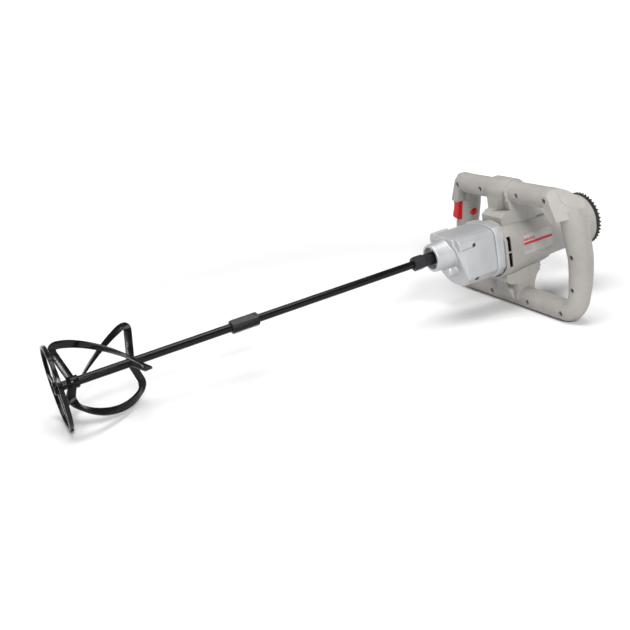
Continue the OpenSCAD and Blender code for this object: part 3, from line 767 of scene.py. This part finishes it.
def gearbox():
    """Cast gearbox: a flanged body with a round nose, a lower lobe, screw pads and notches."""
    body = prism_x(gear_outline(0), PLATE_FRONT + 0.1, GEAR_FRONT)
    back, face = 40, GEAR_FRONT + 1
    slope = [(back, -80), (GEAR_FRONT - 26, -80), (GEAR_FRONT - 15, -26), (GEAR_FRONT - 3, 30),
        (GEAR_FRONT, 36), (GEAR_FRONT, 80), (back, 80)]
    boolean(body, prism_y(slope, -60, 60), "INTERSECT")
    front = [(back, -60), (116, -60), (116, -41), (face, -25), (face, 25), (116, 41), (116, 60), (back, 60)]
    boolean(body, prism_z(front, -60, 60), "INTERSECT")
    taper = [(GEAR_FRONT - 14, NOSE_R + 3.4), (NOSE_END - 1, NOSE_R + 0.2), (NOSE_END, NOSE_R - 0.6)]
    nose = lathe("nose", taper, 0, SPINDLE_Z)
    lobe = lathe("lobe", [(100, 13), (face, 9.5), (GEAR_FRONT + 5, 7)], 6, -9)
    pad = [(24, 45), (31, 48.4), (37.5, 46.4), (41.6, 40), (41.6, 31), (38, 28)]
    pads = [prism_x([(s * y, z) for y, z in pad], GEAR_FRONT - 32, GEAR_FRONT - 3) for s in (-1, 1)]
    shell = join("gearbox", body, nose, lobe, *pads)
    mold(shell, 0.75, 3)
    cuts = [rod(NOSE_END - 9, NOSE_END + 3, NOSE_R - 4, 0, SPINDLE_Z, 96),
        rod(NOSE_END - 15, NOSE_END, NOSE_BORE_R, 0, SPINDLE_Z)]
    for s in (-1, 1):
        for x, y, z in ((GEAR_FRONT - 34, 34.5, 33), (GEAR_FRONT - 36, 30.5, -24.5)):
            y0, y1 = sorted((s * y, s * (y + 15)))
            cuts.append(rod(x, x + 7, 3.5, s * y, z))
            cuts.append(block(x, x + 7, y0, y1, z - 3.2, z + 3.2))
    for cutter in cuts:
        boolean(shell, cutter, "DIFFERENCE")
    dress(shell, "gear_case", "gearbox_housing")


def bearing_plate():
    plate = prism_x(gear_outline(1.4), MOTOR_FRONT + 0.1, PLATE_FRONT - 0.2)
    dress(rounded(plate, 1.0, 3, 20), "plate", "bearing_plate")


gearbox()
bearing_plate()

# ---- spindle and shafts ----


def shaft(x0, x1, r):
    """Round bar along the spindle with chamfered ends."""
    return lathe("shaft", [(x0, r - 1), (x0 + 1, r), (x1 - 1, r), (x1, r - 1)], 0, SPINDLE_Z)


def drive_line():
    upper_bore, lower_bore = UPPER_R + SHAFT_FIT, LOWER_R + SHAFT_FIT
    nut = hexagon(NOSE_END + 15, NOSE_END + 33, NUT_AF, 2.2, upper_bore)
    dress(nut, "hex_nut", "chuck_nut", "output")
    x0 = COUPLING_X - COUPLING_LEN / 2
    x1 = x0 + COUPLING_LEN
    sleeve = hexagon(x0, x1, COUPLING_AF, 2.4)
    boolean(sleeve, rod(x0 - 1, COUPLING_X, upper_bore, 0, SPINDLE_Z), "DIFFERENCE")
    boolean(sleeve, rod(COUPLING_X - 0.1, x1 + 1, lower_bore, 0, SPINDLE_Z), "DIFFERENCE")
    dress(sleeve, "hex_sleeve", "shaft_coupling", "output")
    dress(shaft(NOSE_END - 8, COUPLING_X - 1, UPPER_R), "upper_rod", "upper_shaft", "output")
    end = RING_X + RING_W / 2 + 1
    dress(shaft(COUPLING_X + 1, end, LOWER_R), "lower_rod", "lower_shaft", "output")


drive_line()

# ---- whisk ----


def arm(x, lean, turn):
    """Straight arm from the hub at x: frames of centre, direction and width, from the hub outwards."""
    spin = Matrix.Rotation(turn, 4, "X")
    line = Vector((lean, BLADE_R, 0))
    d = line.normalized()
    w = Vector((d.y, -d.x, 0))
    centres = [Vector((x, 0, 0)) + d * s for s in (3, line.length * 0.5, line.length - 13)]
    return [(spin @ p, spin @ d, spin @ w) for p in centres]


def on_blade(a):
    """Frame of the slanting blade at angle a from its middle."""
    half = math.radians(BLADE_TURN / 2)
    tilt = BLADE_HALF / math.sin(half) / BLADE_R
    turn_back = Matrix.Rotation(half, 4, "X")
    out = Vector((math.sin(a) * tilt, math.cos(a), math.sin(a)))
    ahead = Vector((math.cos(a) * tilt, -math.sin(a), math.cos(a))).normalized()
    centre = turn_back @ (out * BLADE_R) + Vector((BLADE_MID, 0, 0))
    width = (turn_back @ out - turn_back @ Vector((out.x, 0, 0))).normalized()
    return centre, turn_back @ ahead, width


def bend(start, end):
    """Frames between two others, along a smooth curve."""
    p, d, w = start
    q, e, v = end
    if w.dot(v) + d.cross(w).dot(e.cross(v)) < 0:
        v = -v
    reach = (q - p).length * BEND_REACH
    a, b = p + d * reach, q - e * reach
    frames = []
    for j in range(1, BEND_STEPS):
        t = j / BEND_STEPS
        here = (1 - t)**3 * p + 3 * (1 - t)**2 * t * a + 3 * (1 - t) * t * t * b + t**3 * q
        slope = ((1 - t)**2 * (a - p) + 2 * (1 - t) * t * (b - a) + t * t * (q - b)).normalized()
        frames.append((here, slope, w.lerp(v, t)))
    return frames


def strip_rim():
    """Cross-section of a strip, across and through it, with rounded corners."""
    rim = []
    for cx, cy, start in ((1, 1, 0), (-1, 1, 90), (-1, -1, 180), (1, -1, 270)):
        for k in range(4):
            a = math.radians(start + 30 * k)
            rim.append((cx * (STRIP_W / 2 - STRIP_EDGE) + STRIP_EDGE * math.cos(a),
                cy * (STRIP_T / 2 - STRIP_EDGE) + STRIP_EDGE * math.sin(a)))
    return rim


def blade():
    """One strip bent into two arms and the slanting blade between them, starting at +Y."""
    half = math.radians(BLADE_TURN / 2)
    steps = 36
    rear = arm(HUB_REAR_X, -ARM_LEAN, 0)
    middle = [on_blade(half * (2 * k / steps - 1)) for k in range(5, steps - 4)]
    front = [(p, -d, w) for p, d, w in reversed(arm(HUB_FRONT_X, ARM_LEAN, 2 * half))]
    rim = strip_rim()
    rings = []
    before = None
    for p, d, w in rear + bend(rear[-1], middle[0]) + middle + bend(middle[-1], front[0]) + front:
        w = (w - d * w.dot(d)).normalized()
        if before is not None and before.dot(w) < 0:
            w = -w
        before = w.copy()
        n = d.cross(w)
        rings.append([p + w * u + n * v for u, v in rim])
    return sweep("blade", rings)


def collar(x, ends):
    """Sleeve on the lower shaft; ends holds (distance from x, radius) pairs from one end inwards."""
    profile = [(x - d, r) for d, r in ends] + [(x + d, r) for d, r in reversed(ends)]
    return lathe("collar", profile, 0, SPINDLE_Z)


def whisk():
    parts = []
    for k in range(BLADES):
        spin = Matrix.Rotation(math.radians(360 / BLADES * k), 4, "X")
        parts.append(moved(blade(), Matrix.Translation((0, 0, SPINDLE_Z)) @ spin))
    dress(join("whisk", *parts), "whisk", "whisk_blades", "output")
    hub = collar(HUB_FRONT_X, [(8, LOWER_R + 0.1), (7.4, 8.4), (6.4, 9)])
    dress(hub, "hub_sleeve", "whisk_hub", "output")


def end_ring():
    """Flat ring with chamfered corners."""
    x0, x1 = RING_X - RING_W / 2, RING_X + RING_W / 2
    inner, edge = RING_R - RING_T, STRIP_EDGE
    flat = [(x0 + edge, RING_R), (x1 - edge, RING_R), (x1, RING_R - edge), (x1, inner + edge),
        (x1 - edge, inner), (x0 + edge, inner), (x0, inner + edge), (x0, RING_R - edge)]
    rings = [[(x, r * math.cos(t), SPINDLE_Z + r * math.sin(t)) for x, r in flat] for t in full_turn(160)]
    dress(sweep("ring", rings, closed=True), "rim_ring", "end_ring", "output")


def spokes():
    """Boss with three bars, each welded to the inside of the end ring."""
    inner = RING_R - RING_T
    bead = [(RING_X - 2.6, 1), (RING_X - 2.2, 5), (RING_X + 2.2, 5), (RING_X + 2.6, 1)]
    parts = [collar(RING_X, [(5, LOWER_R), (4.5, 8.4), (3.6, 9)])]
    for a in (60, 180, 300):
        spin = Matrix.Rotation(math.radians(a - 90), 4, "X")
        bar = rounded(block(RING_X - 1.75, RING_X + 1.75, -4, 4, 7, inner + 0.6), 0.7, 3)
        weld = lathe("weld", bead, 0, inner + 1.2, 24)
        for part in (bar, weld):
            parts.append(moved(part, Matrix.Translation((0, 0, SPINDLE_Z)) @ spin))
    body = mold(join("spokes", *parts), 0.5, 2)
    boolean(body, rod(RING_X - 9, RING_X + 9, LOWER_R - 0.2, 0, SPINDLE_Z, 96), "DIFFERENCE")
    dress(body, "ring_spider", "ring_spokes", "output")


whisk()
end_ring()
spokes()

# ---- floor, light and camera ----


def area(name, place_at, target, size, power):
    """Round area lamp that looks at target."""
    data = bpy.data.lights.new(name, "AREA")
    data.shape = "DISK"
    data.size = size
    data.energy = power
    lamp = add(name, data)
    lamp.location = place_at
    lamp.rotation_euler = (Vector(target) - Vector(place_at)).to_track_quat("-Z", "Y").to_euler()


def studio():
    """White floor that runs up into a white wall all round, as in a light tent."""
    floor_r, rise_r = 4, 1.3
    rise = [math.pi / 2 * k / 12 for k in range(13)]
    bowl = [(0.02, 0)] + [(floor_r + rise_r * math.sin(a), rise_r - rise_r * math.cos(a)) for a in rise]
    floor = sweep("floor", [[(r * math.cos(t), r * math.sin(t), z) for t in full_turn(96)] for r, z in bowl])
    bm = bmesh.new()
    bm.from_mesh(floor.data)
    lids = [f for f in bm.faces if len(f.verts) > 4 and f.calc_center_median().z > 1]
    bmesh.ops.delete(bm, geom=lids, context="FACES_ONLY")
    bm.to_mesh(floor.data)
    bm.free()
    for face in floor.data.polygons:
        face.use_smooth = True
    n = Nodes("floor")
    tone = n.mix(n.noise(3, 2), (0.80, 0.80, 0.80), (0.82, 0.82, 0.82))
    reach = n.tree.nodes.new("ShaderNodeVectorMath")
    reach.operation = "LENGTH"
    n.link(n.place, reach.inputs[0])
    n.shader.inputs["Emission Color"].default_value = (1, 1, 1, 1)
    n.link(n.ramp(reach.outputs["Value"], 0.6, 2.2, 0, 0.95), n.shader.inputs["Emission Strength"])
    floor.data.materials.append(n.finish(tone, n.ramp(n.noise(6, 2), 0, 1, 0.85, 0.9)))
    world = bpy.data.worlds.new("studio")
    world.use_nodes = True
    sky = world.node_tree.nodes["Background"]
    sky.inputs["Color"].default_value = (1, 1, 1, 1)
    sky.inputs["Strength"].default_value = 0.25
    bpy.context.scene.world = world
    area("key", (0.65, 2.3, 1.75), (-0.2, 0, 0.1), 0.6, 54)
    area("top", (0.1, 0.1, 2.0), (0, 0, 0), 1.5, 36)


def camera():
    data = bpy.data.cameras.new("camera")
    data.lens = 50.7
    data.sensor_width = 36
    cam = add("camera", data)
    cam.location = (0.5847, 1.1491, 0.4877)
    cam.rotation_euler = [math.radians(a) for a in (71.53, 5.99, 153.65)]
    bpy.context.scene.camera = cam


studio()
camera()
bpy.context.scene.view_settings.view_transform = "Standard"
